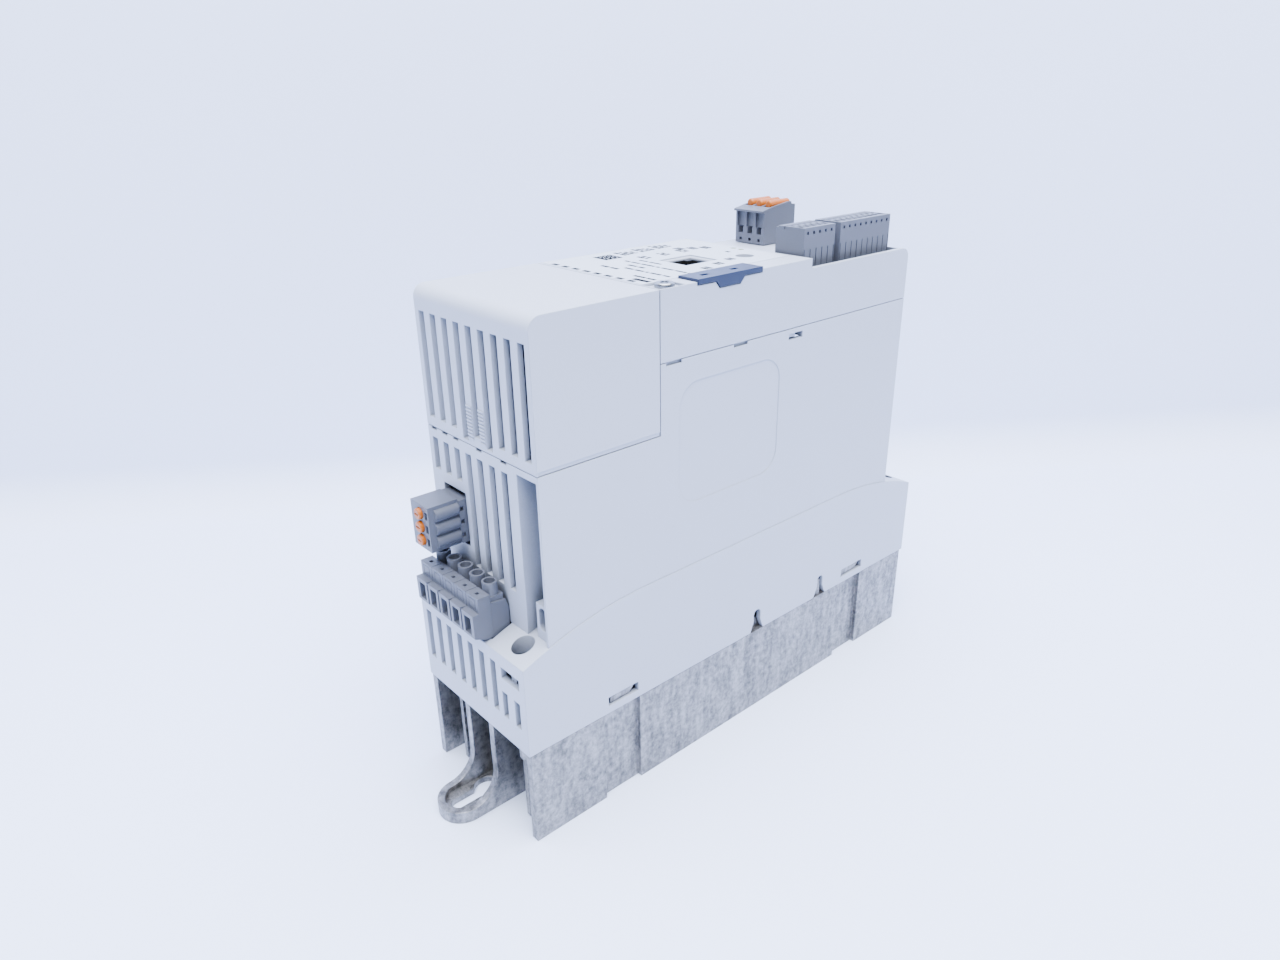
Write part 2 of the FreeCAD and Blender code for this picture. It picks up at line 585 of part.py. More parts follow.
def io_plug(x0, count):
    long = count * IO_PITCH + 1.0
    under = BAY_Z + 0.6
    body = box((x0, x0 + long), IO_Y, (under, IO_TOP))
    cuts = [box((x0 - 1, x0 + long + 1), mid(IO_Y[1] - 4.2, 0.7), (IO_TOP - 1.2, IO_TOP + 1)),
            box((x0 - 1, x0 + long + 1), mid(IO_Y[1] - 0.4, 1.6), (IO_TOP - 0.6, IO_TOP + 1))]
    for i in range(count):
        x = io_start(x0) + IO_PITCH * i
        cuts.append(box(mid(x, 1.8), mid(IO_CENTRE_Y, 1.8), (under - 1, PIN_Z + 1.0)))
        cuts.append(box(mid(x, 1.1), (IO_Y[0] - 1, IO_Y[0] + 1.6), (196.5, 197.7)))
        cuts.append(box(mid(x, 2.3), (IO_CENTRE_Y - 4.6, IO_CENTRE_Y - 1.6), (191.5, IO_TOP + 1)))
        cuts.append(box(mid(x, 1.5), (IO_CENTRE_Y - 0.4, IO_CENTRE_Y + 1.5), (195.5, IO_TOP + 1)))
    for i in range(count + 1):
        x = x0 + 0.5 + IO_PITCH * i
        cuts.append(box(mid(x, 0.5), (IO_Y[0] - 1, IO_Y[0] + 0.6), (under - 1, 191.3)))
    return carve(body, cuts)


def relay_poles():
    return [RELAY_Y + PLUG_PITCH * (i - 1) for i in range(3)]


def relay_header():
    base = box((RELAY_X[0] + 2.4, RELAY_X[1] - 2.4), mid(RELAY_Y, 12.4), (CONTROL_BOARD_Z + BOARD_T, STEP_Z))
    pins = [box(mid(RELAY_PIN_X, 1.2), mid(y, 1.0), (STEP_Z - 1, 193)) for y in relay_poles()]
    return join([base] + pins)


def relay_plug():
    near, far = RELAY_X
    y = mid(RELAY_Y, 3 * PLUG_PITCH + 0.7)
    side = [(near, RELAY_UNDER), (near, 198.8), (near - 1.4, 198.9), (near - 1.4, 199.7), (near + 5.2, 201.0),
            (far - 4.4, 202.3), (far - 2.6, 202.3), (far - 2.2, 201.2), (far, 201.0), (far, RELAY_UNDER)]
    body = prism_y(side, y)
    cuts = []
    for pole in relay_poles():
        cuts.append(box((167.0, 181.0), mid(pole, 4.0), (197.2, 204)))
        cuts.append(box((near - 1, near + 1.1), mid(pole, 3.9), (192.6, 198.8)))
        cuts.append(box((near - 1, near + 6.5), mid(pole, 2.6), (189.9, 192.7)))
        cuts.append(box((near - 1, near + 1.5), mid(pole, 1.4), (186.9, 188.1)))
        cuts.append(box(mid(RELAY_PIN_X, 2.0), mid(pole, 1.8), (RELAY_UNDER - 1, 194)))
    return carve(body, cuts)


def relay_lever(i):
    pole = relay_poles()[i]
    round_part = rod_x((168.0, 180.0), pole, 201.6, 1.75)
    edges = [e for e in round_part.Edges if abs(e.CenterOfMass.x - 168.0) < 0.01]
    round_part = round_part.makeFillet(0.8, edges)
    web = box((168.6, 179.4), mid(pole, 3.2), (199.2, 201.6))
    return join([round_part, web])


def aux_poles():
    return [AUX_Z + PLUG_PITCH * (1 - i) for i in range(3)]


def aux_plug():
    z = mid(AUX_Z, 3 * PLUG_PITCH + 2.0)
    body = box((AUX_FRONT, 8.6), (AUX_Y[0] + 1.6, AUX_Y[1]), z)
    rear = box((8.5, AUX_REAR), (AUX_Y[0] + 0.4, AUX_Y[1]), (z[0] + 0.4, z[1] - 0.4))
    ribs = []
    for pole in aux_poles():
        rib = rod_x((-1.0, 8.4), AUX_Y[0] + 2.1, pole, 2.3)
        ribs.append(rib.common(box((-1.0, 8.4), (AUX_Y[0] - 0.2, AUX_Y[0] + 3), mid(pole, 4.5))))
    cuts = []
    for pole in aux_poles():
        cuts.append(rod_x((AUX_FRONT - 1, 3.4), AUX_BUTTON_Y, pole, 2.25))
        cuts.append(box((AUX_FRONT - 1, 4.6), mid(AUX_Y[0] + 3.2, 1.8), mid(pole, 3.0)))
        cuts.append(box((8.2, 10.2), (AUX_Y[0] - 1, AUX_Y[0] + 1.6), mid(pole, 1.8)))
        cuts.append(box((5.6, AUX_REAR + 1), mid(AUX_PIN_Y, 1.8), mid(pole, 1.8)))
    return carve(join([body, rear] + ribs), cuts)


def aux_button(i):
    pole = aux_poles()[i]
    button = rod_x((-4.6, 1.6), AUX_BUTTON_Y, pole, 2.05)
    edges = [e for e in button.Edges if abs(e.CenterOfMass.x + 4.6) < 0.01]
    button = button.makeFillet(0.5, edges)
    return carve(button, [box((-5, -4.1), mid(AUX_BUTTON_Y, 2.6), mid(pole, 0.6))])


def aux_header():
    shroud = box((AUX_REAR + 0.4, 16.2), (AUX_Y[0] + 0.4, AUX_Y[1]), mid(AUX_Z, 3 * PLUG_PITCH + 1.4))
    pins = [box((6.8, 20), mid(AUX_PIN_Y, 1.0), mid(pole, 1.0)) for pole in aux_poles()]
    board = box((19.0, 20.6), (4, 28.4), (BOARD_Z + BOARD_T, 121))
    return join([shroud, board] + pins)


# -------------------------------------------------------- clamp terminals

def pole_centres(count):
    return [MAINS_Y + POLE * (i - (count - 1) / 2) for i in range(count)]


def clamp_body(count):
    """Row of screw clamps: wire mouths, labelled step above them, screw towers."""
    y = mid(MAINS_Y, count * POLE)
    front = prism_y([(-4.0, 77.3), (-4.1, 86.4), (CLAMP_FACE, 86.4), (CLAMP_FACE, CLAMP_TOP),
                     (3.2, CLAMP_TOP), (3.2, 75.3), (0.6, 75.3)], y)
    rear = prism_y([(3.1, 72.0), (3.1, 88.6), (9.4, 87.8), (10.4, 84.6), (10.4, 72.0)],
                   (y[0] + 0.25, y[1] - 0.25))
    pieces = [front, rear]
    cuts = []
    for pole in pole_centres(count):
        pieces.append(rod_z(SCREW_X, pole, (84, TOWER_TOP), TOWER_R))
        pieces.append(box((3.1, 9.0), mid(pole, 5.6), (84, 90.2)))
        cuts.append(rod_z(SCREW_X, pole, (SCREW_TOP - 2.3, TOWER_TOP + 1), SCREW_HEAD_R + 0.1))
        cuts.append(rod_z(SCREW_X, pole, (80, TOWER_TOP), 1.42))
        cuts.append(box((-5, 9.0), mid(pole, 4.0), (78.3, 84.8)))
        cuts.append(box((CAGE_X[0] - 0.3, CAGE_X[1] + 0.3), mid(pole, 5.8),
                        (CAGE_Z[0] - 0.4, CAGE_Z[1] + CAGE_TRAVEL + 0.4)))
        cuts.append(box(mid(0.6, 1.3), mid(pole, 1.5), (90.4, CLAMP_TOP + 1)))
        frame = box((CLAMP_FACE - 1, CLAMP_FACE + 0.2), mid(pole, 4.0), (87.2, 91.1))
        cuts.append(frame.cut(box((CLAMP_FACE - 2, CLAMP_FACE + 1), mid(pole, 3.4), (87.5, 90.8))))
        cuts.append(box((LEG_X - 0.5, LEG_X + 0.5), mid(pole, 2.4), (70, CAGE_Z[1])))
    for i in range(1, count):
        seam = y[0] + POLE * i
        cuts.append(box((-6, -3.0), mid(seam, 0.9), (70, 96)))
        cuts.append(box((-3.1, 3.2), mid(seam, 0.3), (85.0, 96)))
        cuts.append(box((3.1, 11), mid(seam, 0.8), (86.4, 96)))
    return carve(join(pieces), cuts)


def clamp_contacts(count):
    """Fixed copper bars above the wires, with solder legs into the board."""
    bars = []
    for pole in pole_centres(count):
        bar = box((1.0, 8.9), mid(pole, 2.6), (82.3, 83.1))
        leg = box(mid(LEG_X, 0.8), mid(pole, 2.0), (70.2, 83.1))
        bars.append(join([bar, leg]))
    return Part.makeCompound(bars)


def clamp_cage(pole):
    block = box(CAGE_X, mid(pole, 5.2), CAGE_Z)
    window = box((CAGE_X[0] - 1, CAGE_X[1] + 1), mid(pole, 3.8), (78.3, 83.5))
    leg_gap = box((8.3, 9), mid(pole, 2.6), (70, 83.5))
    return carve(block, [window, leg_gap, rod_z(SCREW_X, pole, (80, 90), 1.5)])


def clamp_screw(pole):
    return slot_screw(SCREW_X, pole, SCREW_TOP, SCREW_HEAD_R, 2.1, 1.32, 83.7)


def main():
    os.makedirs("parts", exist_ok=True)
    pieces = {
        "heat_sink": heat_sink(), "base_housing": base_housing(), "main_housing": main_housing(),
        "vent_hood": vent_hood(), "control_housing": control_housing(), "front_panel": front_panel(),
        "memory_module": memory_module(), "power_board": power_board(), "board_screws": board_screws(),
        "power_module": power_module(), "link_capacitors": link_capacitors(), "emc_choke": emc_choke(),
        "riser_board": riser_board(), "control_board": control_board(), "link_connector": link_connector(),
        "rj45_jack": rj45_jack(), "status_leds": status_leds(), "relay_header": relay_header(),
        "relay_plug": relay_plug(), "aux_header": aux_header(), "aux_plug": aux_plug(),
        "io_header_5": io_header(140.0, 5), "io_plug_5": io_plug(140.0, 5),
        "io_header_9": io_header(161.9, 9), "io_plug_9": io_plug(161.9, 9),
        "mains_terminal": clamp_body(5), "mains_contacts": clamp_contacts(5),
        "motor_terminal": mirrored(clamp_body(4)), "motor_contacts": mirrored(clamp_contacts(4)),
        "housing_screw": pan_screw(*CORNER_SCREW, HOOD_TOP - 0.8, 3.4, 1.6, 1.55, 9),
        "pe_screw_near": pan_screw(PE_X, PE_Y, PE_BOSS_TOP + 0.1, 3.7, 2.8, 1.97, 9),
        "pe_screw_far": pan_screw(LENGTH - PE_X, PE_Y, PE_BOSS_TOP + 0.1, 3.7, 2.8, 1.97, 9),
    }
    for i in range(3):
        pieces["relay_lever_%d" % (i + 1)] = relay_lever(i)
        pieces["aux_button_%d" % (i + 1)] = aux_button(i)
    for i, pole in enumerate(pole_centres(5)):
        pieces["mains_cage_%d" % (i + 1)] = clamp_cage(pole)
        pieces["mains_screw_%d" % (i + 1)] = clamp_screw(pole)
    for i, pole in enumerate(pole_centres(4)):
        pieces["motor_cage_%d" % (i + 1)] = mirrored(clamp_cage(pole))
        pieces["motor_screw_%d" % (i + 1)] = mirrored(clamp_screw(pole))
    for name, shape in pieces.items():
        save(name, shape)


main()
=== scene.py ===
"""Looks of the cabinet servo drive: materials, printed marks, camera and light."""
import math

import bpy
import numpy as np
from mathutils import Matrix, Vector


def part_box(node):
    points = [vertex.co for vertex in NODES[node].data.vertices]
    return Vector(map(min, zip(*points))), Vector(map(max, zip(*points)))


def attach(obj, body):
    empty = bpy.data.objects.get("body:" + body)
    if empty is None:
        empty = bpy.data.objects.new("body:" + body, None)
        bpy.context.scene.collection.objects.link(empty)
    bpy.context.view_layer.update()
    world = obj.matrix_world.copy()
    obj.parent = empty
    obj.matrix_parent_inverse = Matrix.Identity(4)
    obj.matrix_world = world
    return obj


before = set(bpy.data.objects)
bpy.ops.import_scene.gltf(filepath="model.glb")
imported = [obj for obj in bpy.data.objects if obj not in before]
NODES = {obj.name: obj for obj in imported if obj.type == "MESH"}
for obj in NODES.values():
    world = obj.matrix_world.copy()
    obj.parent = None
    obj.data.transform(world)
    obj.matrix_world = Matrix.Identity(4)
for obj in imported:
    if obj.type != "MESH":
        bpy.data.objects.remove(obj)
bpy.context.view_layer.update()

MM = 0.001

# Painted shade in recesses: share of open surroundings at which a recess counts as deep, and as
# open
DEEP, OPEN = 0.06, 0.42
PAINTED_SHADE_SHARE = 0.9              # how far a deep recess goes to the dark colour

# Printed marks, in millimetres
INK_T = 0.03
WORD_GAP = 0.8
STROKE_PITCH = 0.8
STROKE_SHARE = 0.85           # of the pitch that is printed
PATCH_CELL = 0.74
PATCH_CELLS = 11
DISC_CENTRE = (14.85, -11.3)
DISC_R = 3.25

# Spring contacts of the network port
CONTACTS = 8
CONTACT_PITCH = 1.27
CONTACT_Z = (178.0, 185.6)

# Seamless paper: foot of the wall, directions along it and out through it
WALL_FOOT = np.array([157.0, 165.8])
WALL_ALONG = np.array([0.820, -0.573])
WALL_OUT = np.array([0.573, 0.820])
WALL_HALF = 3000.0
WALL_TOP = 2400.0
FLOOR_REACH = 2500.0
FLOOR_Z = -0.05
COVE_R = 30.0

# Camera
CAMERA_LENS = 25.46
SENSOR_WIDTH = 36.0
CAMERA_PLACE = Vector((-242.74, -243.90, 250.14))
CAMERA_RIGHT = Vector((0.74806, -0.66346, -0.01470))
CAMERA_BACK = Vector((-0.60244, -0.68821, 0.40428))


# ------------------------------------------------------------------ colours

def linear(code):
    """Linear RGBA from an sRGB hex code."""
    values = [int(code[i:i + 2], 16) / 255 for i in (1, 3, 5)]
    return [v / 12.92 if v <= 0.04045 else ((v + 0.055) / 1.055) ** 2.4 for v in values] + [1.0]


# ------------------------------------------------------------ node building

def add(tree, kind, links=None, **settings):
    """Adds a shader node, applies its settings and links its inputs.

    Keys in links are input names or positions, values are sockets or constants.
    """
    made = tree.nodes.new(kind)
    for key, value in settings.items():
        setattr(made, key, value)
    for key, value in (links or {}).items():
        socket = made.inputs[key]
        if isinstance(value, bpy.types.NodeSocket):
            tree.links.new(value, socket)
        else:
            socket.default_value = value
    return made


def new_material(name):
    material = bpy.data.materials.new(name)
    material.use_nodes = True
    tree = material.node_tree
    tree.nodes.clear()
    return material, tree


def finish_material(tree, surface):
    add(tree, "ShaderNodeOutputMaterial", {"Surface": surface})


def object_noise(tree, per_mm, detail=3.0, rough=0.55, stretch=(1, 1, 1)):
    """Noise in Object coordinates, with so many cells per millimetre."""
    coords = add(tree, "ShaderNodeTexCoord").outputs["Object"]
    scaled = add(tree, "ShaderNodeMapping", {"Vector": coords, "Scale": stretch})
    return add(tree, "ShaderNodeTexNoise", {
        "Vector": scaled.outputs[0], "Scale": per_mm / MM, "Detail": detail,
        "Roughness": rough}).outputs["Fac"]


def remap(tree, value, low, high, out_low, out_high):
    return add(tree, "ShaderNodeMapRange", {
        "Value": value, "From Min": low, "From Max": high,
        "To Min": out_low, "To Max": out_high}).outputs[0]


def half_and_half(tree, one, other, share=0.5):
    """Two values mixed, with the share that comes from the other."""
    return add(tree, "ShaderNodeMix", {"Factor": share, "A": one, "B": other},
               data_type="FLOAT").outputs[0]


def rounded(tree, radius_mm, height, depth_mm):
    """Normal with edges softened by the radius, and a bump of the depth on top of it."""
    soft = add(tree, "ShaderNodeBevel", {"Radius": radius_mm * MM}, samples=6).outputs[0]
    return add(tree, "ShaderNodeBump", {"Height": height, "Distance": depth_mm * MM,
                                        "Strength": 1.0, "Normal": soft}).outputs[0]


def shaded(tree, colour, tone, spread):
    """Colour made darker and lighter by the tone value, up to the spread."""
    gain = remap(tree, tone, 0.25, 0.75, 1 - spread, 1 + spread)
    return add(tree, "ShaderNodeVectorMath", {0: colour[:3], "Scale": gain},
               operation="SCALE").outputs[0]


def painted_recess_shade(tree, colour, painted_shade_code, reach_mm=45.0):
    """Painted shade: colour that falls towards a dark one where little of the surroundings is
    open, as in recesses and seams.
    """
    openness = add(tree, "ShaderNodeAmbientOcclusion", {"Distance": reach_mm * MM},
                   samples=6).outputs["AO"]
    share = remap(tree, openness, DEEP, OPEN, PAINTED_SHADE_SHARE, 0.0)
    return add(tree, "ShaderNodeMix", {0: share, 6: colour, 7: linear(painted_shade_code)},
               data_type="RGBA").outputs[2]


# ---------------------------------------------------------------- materials

def moulded_plastic(name, code, rough=0.45, grain_mm=0.35, depth_mm=0.006, edge_mm=0.45,
                    spread=0.012, gloss=0.5, painted_shade_code=None):
    """Injection-moulded plastic: fine spark-eroded grain and soft moulded edges, with painted
    shade in recesses when a shade colour is given.

    The real grain is under 0.1 mm, so it is drawn coarser and shows as a satin sheen.
    """
    material, tree = new_material(name)
    grain = object_noise(tree, 1 / grain_mm, 2.0)
    broad = object_noise(tree, 1 / 40.0, 2.0)
    base = shaded(tree, linear(code), broad, spread)
    # painted shade: recesses are darkened towards the shade colour where little of the
    # surroundings is open
    if painted_shade_code:
        base = painted_recess_shade(tree, base, painted_shade_code)
    surface = add(tree, "ShaderNodeBsdfPrincipled", {
        "Base Color": base, "Roughness": remap(tree, broad, 0.3, 0.7, rough - 0.03, rough + 0.05),
        "IOR": 1.5, "Specular IOR Level": gloss,
        "Normal": rounded(tree, edge_mm, grain, depth_mm)})
    finish_material(tree, surface.outputs[0])
    return material


def cast_aluminium(name, code):
    """Die-cast aluminium: mottled skin, flow streaks up the walls and tumbled edges."""
    material, tree = new_material(name)
    mottle = object_noise(tree, 1 / 2.4, 7.0, 0.72)
    streak = object_noise(tree, 1 / 4.0, 5.0, 0.68, (1.0, 1.0, 0.3))
    pores = object_noise(tree, 1 / 0.7, 3.0, 0.6)
    tone = half_and_half(tree, mottle, streak, 0.45)
    base = shaded(tree, linear(code), remap(tree, tone, 0.4, 0.6, 0.25, 0.75), 0.5)
    relief = half_and_half(tree, mottle, pores)
    surface = add(tree, "ShaderNodeBsdfPrincipled", {
        "Base Color": base, "Metallic": 0.85,
        "Roughness": remap(tree, tone, 0.3, 0.7, 0.5, 0.36),
        "Normal": rounded(tree, 0.5, relief, 0.14)})
    finish_material(tree, surface.outputs[0])
    return material


def plated_steel(name, code, rough=0.28):
    """Bright zinc or tin plate over turned steel: nearly plain, with a fine uneven sheen."""
    material, tree = new_material(name)
    fine = object_noise(tree, 1 / 0.4, 3.0)
    surface = add(tree, "ShaderNodeBsdfPrincipled", {
        "Base Color": shaded(tree, linear(code), fine, 0.08), "Metallic": 1.0,
        "Roughness": remap(tree, fine, 0.3, 0.7, rough - 0.06, rough + 0.1),
        "Normal": rounded(tree, 0.12, fine, 0.004)})
    finish_material(tree, surface.outputs[0])
    return material


def solder_mask(name, code):
    """Glass-fibre circuit board under a thin green lacquer, with tracks in relief."""
    material, tree = new_material(name)
    tracks = object_noise(tree, 1 / 2.2, 1.0)
    surface = add(tree, "ShaderNodeBsdfPrincipled", {
        "Base Color": shaded(tree, linear(code), tracks, 0.35), "Roughness": 0.35, "IOR": 1.5,
        "Normal": rounded(tree, 0.1, tracks, 0.03)})
    finish_material(tree, surface.outputs[0])
    return material


def tinted_lens(name, code):
    """Clear moulded light guide, tinted, with a faint glow of its own."""
    material, tree = new_material(name)
    surface = add(tree, "ShaderNodeBsdfPrincipled", {
        "Base Color": linear(code), "Roughness": 0.15, "IOR": 1.49, "Transmission Weight": 0.35,
        "Emission Color": linear(code), "Emission Strength": 0.25})
    finish_material(tree, surface.outputs[0])
    return material


def backdrop_paper(name, code):
    """Matt seamless paper."""
    material, tree = new_material(name)
    surface = add(tree, "ShaderNodeBsdfPrincipled", {
        "Base Color": linear(code), "Roughness": 0.9, "Specular IOR Level": 0.2})
    finish_material(tree, surface.outputs[0])
    return material


# ABS housings: cool light grey satin, with painted shade towards near black in deep recesses, as
# behind the vents
HOUSING = moulded_plastic("housing_abs_satin_painted_shade", "#A5ABB9", rough=0.42, painted_shade_code="#17171A")
# Polyester film on the front: matt and a little lighter than the housing
PANEL = moulded_plastic("printed_film_matt", "#B0B7C4", rough=0.5, edge_mm=0.15)
# Glass-filled polyamide of the plugs and clamps: mid grey, crisp edges
CONNECTOR = moulded_plastic("polyamide_grey", "#52555F", rough=0.4, grain_mm=0.25, edge_mm=0.22)
ORANGE = moulded_plastic("polyamide_orange", "#A85600", rough=0.38, grain_mm=0.25, edge_mm=0.25)
# ABS cap of the memory module: deep blue, glossier than the housing
BLUE = moulded_plastic("abs_deep_blue", "#0A1A3C", rough=0.32, grain_mm=0.3, edge_mm=0.3)
BLACK = moulded_plastic("polyester_black", "#0C0D0F", rough=0.45, edge_mm=0.15)
# Shrunk sleeve on the capacitor cans: near black and fairly glossy
SLEEVE = moulded_plastic("capacitor_sleeve", "#121318", rough=0.3, edge_mm=0.4)
# Sintered ring under lacquer: dark, with a coarse skin
FERRITE = moulded_plastic("lacquered_ferrite", "#161617", rough=0.35, grain_mm=0.8,
                          depth_mm=0.02, edge_mm=0.5)
ALUMINIUM = cast_aluminium("cast_aluminium_tumbled", "#838283")
ZINC = plated_steel("zinc_plated_steel", "#9A9C9E")
TIN = plated_steel("tinned_copper", "#9C9A93", 0.35)
GOLD = plated_steel("gold_flash", "#B98A33", 0.25)
BOARD = solder_mask("solder_mask_green", "#0B2418")
LENS = tinted_lens("led_lens", "#8FA012")
# Screen-printed ink: flat, without gloss
INK = moulded_plastic("print_ink_grey", "#060708", rough=0.7, edge_mm=0.02, gloss=0.05)
DARK_INK = moulded_plastic("print_ink_dark", "#030304", rough=0.7, edge_mm=0.02, gloss=0.05)
DIAL_GREY = moulded_plastic("disc_grey", "#4E5155", rough=0.5, edge_mm=0.1)
PAPER = backdrop_paper("backdrop_paper", "#D6E1FB")

FINISH = {
    "heat_sink": ALUMINIUM, "base_housing": HOUSING, "main_housing": HOUSING,
    "vent_hood": HOUSING, "control_housing": HOUSING, "front_panel": PANEL,
    "memory_module": BLUE, "power_board": BOARD, "board_screws": ZINC, "power_module": BLACK,
    "link_capacitors": SLEEVE, "emc_choke": FERRITE, "riser_board": BLACK,
    "control_board": BOARD, "link_connector": BLACK, "rj45_jack": BLACK, "status_leds": LENS,
    "relay_header": BLACK, "aux_header": BLACK, "io_header_5": BLACK, "io_header_9": BLACK,
    "relay_plug": CONNECTOR, "aux_plug": CONNECTOR, "io_plug_5": CONNECTOR,
    "io_plug_9": CONNECTOR, "mains_terminal": CONNECTOR, "motor_terminal": CONNECTOR,
    "mains_contacts": TIN, "motor_contacts": TIN, "housing_screw": ZINC, "pe_screw_near": ZINC,
    "pe_screw_far": ZINC,
}
for prefix, finish in (("relay_lever", ORANGE), ("aux_button", ORANGE), ("mains_cage", TIN),
                       ("mains_screw", ZINC), ("motor_cage", TIN), ("motor_screw", ZINC)):
    for name in NODES:
        if name.startswith(prefix + "_"):
            FINISH[name] = finish
for name, piece in NODES.items():
    piece.data.materials.clear()
    piece.data.materials.append(FINISH[name])


# ------------------------------------------------------------- new surfaces

def new_mesh(name, points, faces, material):
    """Mesh object at the origin, from points in millimetres."""
    mesh = bpy.data.meshes.new(name)
    mesh.from_pydata((points * MM).tolist(), [], faces)
    mesh.materials.append(material)
    piece = bpy.data.objects.new(name, mesh)
    bpy.context.scene.collection.objects.link(piece)
    return piece


CORNERS = np.array([(x, y, z) for z in (0, 1) for x, y in ((0, 0), (1, 0), (1, 1), (0, 1))])
SIDES = np.array([(3, 2, 1, 0), (4, 5, 6, 7), (0, 1, 5, 4), (1, 2, 6, 5), (2, 3, 7, 6),
                  (3, 0, 4, 7)])


def slabs(name, boxes, material, body):
    """One mesh of flat slabs, each given by its low and high corner in millimetres.

    A corner is the low corner plus 0 or 1 times the slab's size along each axis.
    """
    low, high = np.array(boxes).transpose(1, 0, 2)
    points = low[:, None] + (high - low)[:, None] * CORNERS
    faces = SIDES + len(CORNERS) * np.arange(len(boxes))[:, None, None]
    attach(new_mesh(name, points.reshape(-1, 3), faces.reshape(-1, 4).tolist(), material), body)


def disc(name, centre, radius, z, material, body, count=48):
    """Flat disc: points at equal angles round the centre, a rim 0.1 mm high below it."""
    turn = np.linspace(0, 2 * math.pi, count, endpoint=False)
    top = np.column_stack([centre[0] + radius * np.cos(turn),
                           centre[1] + radius * np.sin(turn), np.full(count, z)])
    low = top - [0, 0, 0.1]
    k = np.arange(count)
    rim = np.column_stack([k, count + k, count + (k + 1) % count, (k + 1) % count])
    faces = [k.tolist(), (count + k)[::-1].tolist()] + rim.tolist()
    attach(new_mesh(name, np.vstack([top, low]), faces, material), body)


FACE_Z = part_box("front_panel")[1].z / MM
PANEL_LOW, PANEL_HIGH = [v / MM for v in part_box("front_panel")]
JACK_LOW, JACK_HIGH = [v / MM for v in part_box("rj45_jack")]


def bar(x, y, long, wide):
    """Printed bar on the front face, from its start and size."""
    return ((x, y, FACE_Z), (x + long, y + wide, FACE_Z + INK_T))


def text_line(x, y, long, words, tall):
    """Generic line of text running along -Y: words of uneven length in strokes, no letters.

    Word k takes a share of the line that goes with 1 + 0.6 sin(2.3 k + x + 0.7 y).
    """
    shares = [1 + 0.6 * math.sin(2.3 * k + x + 0.7 * y) for k in range(words)]
    room = long - WORD_GAP * (words - 1)
    marks = []
    at = y
    for share in shares:
        word = room * share / sum(shares)
        strokes = max(2, round(word / STROKE_PITCH))
        step = word / strokes
        for k in range(strokes):
            marks.append(bar(x, at - step * (k + STROKE_SHARE), tall, step * STROKE_SHARE))
        at -= word + WORD_GAP
    return marks


def legend_rows():
    """Generic legends on the front film, each row from its place, length, words and height.

    There is a heading, rows of small text, a row of labels beside the hood, and a group of
    short labels round each fitting. Places run from the film's left edge, the port's left
    edge and the film's far side.
    """
    left, port, far = PANEL_LOW[0], JACK_LOW[0], PANEL_HIGH[1]
    rows = text_line(left + 3.2, -14.0, 8.0, 1, 2.1)
    rows += text_line(left + 7.2, -10.0, 11.0, 2, 1.4)
    rows += text_line(left + 10.9, far - 20.0, 9.5, 2, 1.5)
    rows += text_line(left + 14.2, 2.8, 23.3, 5, 1.3)
    rows += text_line(left + 18.6, far - 26.0, 9.0, 2, 1.3)
    rows += text_line(left + 23.1, 13.0, 35.5, 7, 1.2)
    rows += text_line(left + 27.6, far - 22.0, 12.0, 2, 1.1)
    for k in range(8):
        rows += text_line(left + 0.5, 27.5 - 6.0 * k, 3.6, 1, 1.8)
    for k in range(3):
        top = far - 3.4 + 0.8 * k
        for line in range(4):
            rows += text_line(port - 2.4 + 9.6 * k + 2.0 * line, top - 0.8 * line,
                              7.4 - 1.0 * line, 2, 1.4)
        for line in range(2):
            rows += text_line(port - 1.6 + 9.8 * k + 2.0 * line, 15.8 - 0.5 * line,
                              5.8 - line, 2, 1.4)
            rows += text_line(port + 20.4 + 4.6 * k + 1.9 * line, 19.4 - 2.6 * k, 4.8, 1, 1.4)
            rows += text_line(port - 0.3 + 9.2 * k + 2.0 * line, -16.4 + 3.0 * k, 3.8, 1, 1.4)
    rows += text_line(port + 29.6, -0.1, 2.2, 1, 1.5)
    return rows


def code_patch(x, y):
    """Plain chequered patch with two solid edges.

    Inside them a cell is left out where (i j + i + 2 j) is a multiple of 3.
    """
    cells = []
    for i in range(PATCH_CELLS):
        for j in range(PATCH_CELLS):
            if i == 0 or j == 0 or (i * j + i + 2 * j) % 3:
                cells.append(bar(x + PATCH_CELL * i, y + PATCH_CELL * j,
                                 PATCH_CELL * 0.98, PATCH_CELL * 0.98))
    return cells


def port_contacts():
    """Flat spring contacts standing side by side in the network port."""
    near, side = JACK_LOW[0] + 2.8, JACK_LOW[1] + 2.9
    return [((near + CONTACT_PITCH * k, side, CONTACT_Z[0]),
             (near + CONTACT_PITCH * k + 0.45, side + 0.5, CONTACT_Z[1]))
            for k in range(CONTACTS)]


slabs("front_legends", legend_rows(), INK, "control_unit")
slabs("front_patch", code_patch(PANEL_LOW[0] + 19.6, PANEL_HIGH[1] - 13.2), DARK_INK,
      "control_unit")
disc("front_disc", DISC_CENTRE, DISC_R, FACE_Z - 0.1, DIAL_GREY, "control_unit")
slabs("jack_contacts", port_contacts(), GOLD, "control_unit")


# -------------------------------------------------------------- the setting

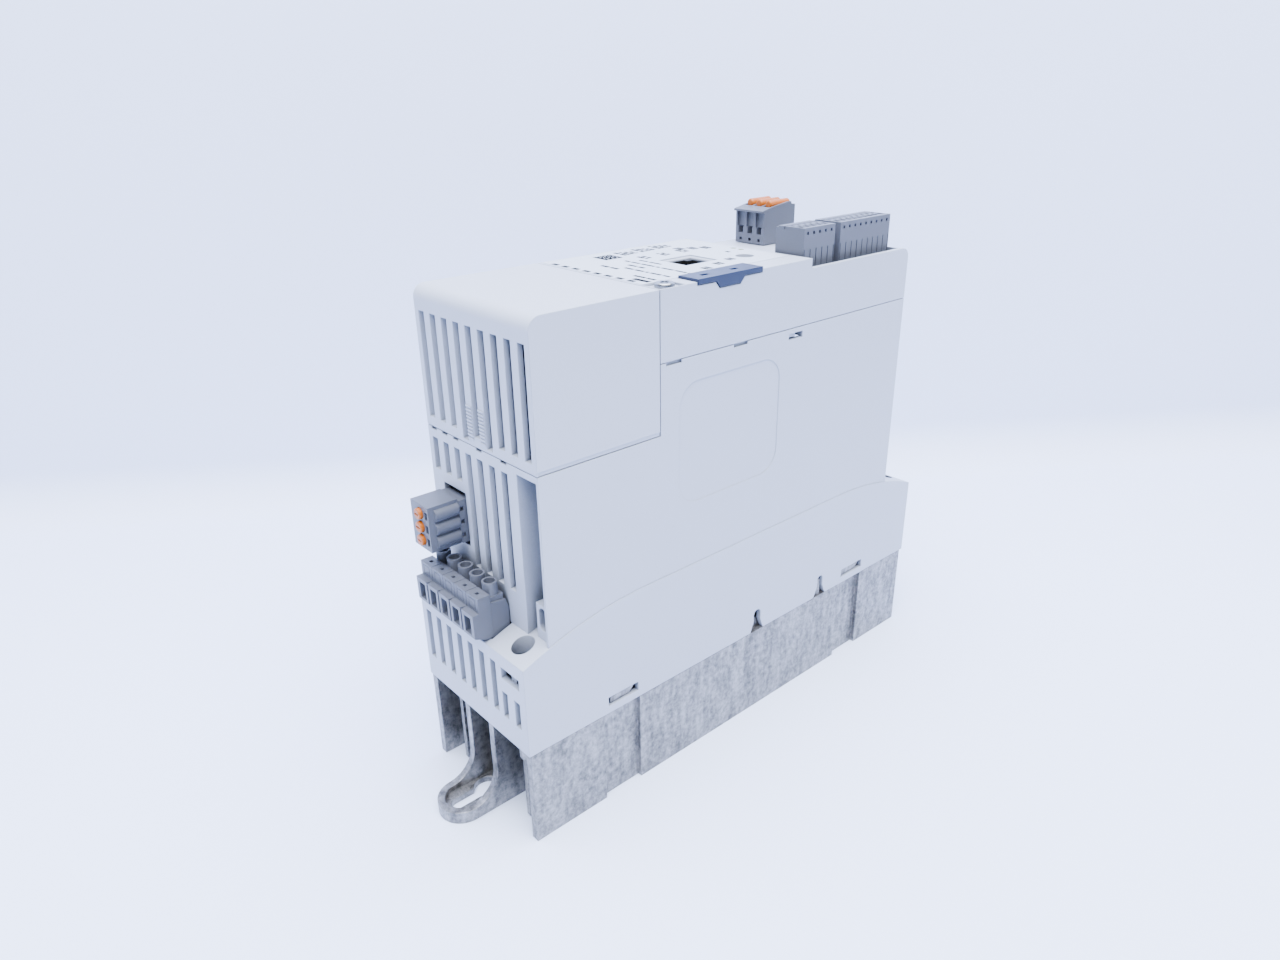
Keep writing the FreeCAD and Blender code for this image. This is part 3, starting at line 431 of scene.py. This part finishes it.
def backdrop():
    """Floor, cove and wall in one sheet: a profile carried along the wall's foot.

    In the cove, with t from 0 to a right angle, the profile is r (sin t - 1) out from the
    foot and r (1 - cos t) up from the floor.
    """
    turn = np.linspace(0, math.pi / 2, 13)
    out = np.hstack([-FLOOR_REACH, COVE_R * (np.sin(turn) - 1), 0.0])
    up = np.hstack([FLOOR_Z, FLOOR_Z + COVE_R * (1 - np.cos(turn)), WALL_TOP])
    steps = np.linspace(-WALL_HALF, WALL_HALF, 13)
    flat = WALL_FOOT + steps[:, None, None] * WALL_ALONG + out[None, :, None] * WALL_OUT
    points = np.dstack([flat, np.broadcast_to(up, flat.shape[:2])])
    width = len(out)
    first = (np.arange(len(steps) - 1)[:, None] * width + np.arange(width - 1)).ravel()
    faces = np.column_stack([first, first + width, first + width + 1, first + 1])
    sheet = new_mesh("backdrop", points.reshape(-1, 3), faces.tolist(), PAPER)
    sheet.data.polygons.foreach_set("use_smooth", [True] * len(faces))


def area_light(name, place, aim, size, power, code):
    """Square soft box at a place, turned to face the aim point, both in metres."""
    data = bpy.data.lights.new(name, "AREA")
    data.shape = "RECTANGLE"
    data.size, data.size_y = size
    data.energy = power
    data.color = linear(code)[:3]
    lamp = bpy.data.objects.new(name, data)
    lamp.location = place
    facing = Vector(aim) - Vector(place)
    lamp.rotation_euler = facing.to_track_quat("-Z", "Y").to_euler()
    bpy.context.scene.collection.objects.link(lamp)


def sky(code, strength):
    """Even light from all round."""
    world = bpy.data.worlds.new("studio")
    world.use_nodes = True
    tree = world.node_tree
    tree.nodes.clear()
    light = add(tree, "ShaderNodeBackground", {"Color": linear(code), "Strength": strength})
    add(tree, "ShaderNodeOutputWorld", {"Surface": light.outputs[0]})
    bpy.context.scene.world = world


def camera():
    """Camera at its place, turned by its right, up and back directions."""
    data = bpy.data.cameras.new("camera")
    data.sensor_width = SENSOR_WIDTH
    data.lens = CAMERA_LENS
    data.clip_start = 0.01
    up = CAMERA_BACK.cross(CAMERA_RIGHT)
    turn = Matrix((CAMERA_RIGHT, up, CAMERA_BACK)).transposed().to_4x4()
    eye = bpy.data.objects.new("camera", data)
    eye.matrix_world = Matrix.Translation(CAMERA_PLACE * MM) @ turn
    bpy.context.scene.collection.objects.link(eye)
    bpy.context.scene.camera = eye


backdrop()
sky("#DCE6FA", 0.5)
area_light("top_box", (-0.1, -0.2, 1.3), (0, 0, 0.05), (1.6, 1.6), 150, "#EDF2FF")
camera()
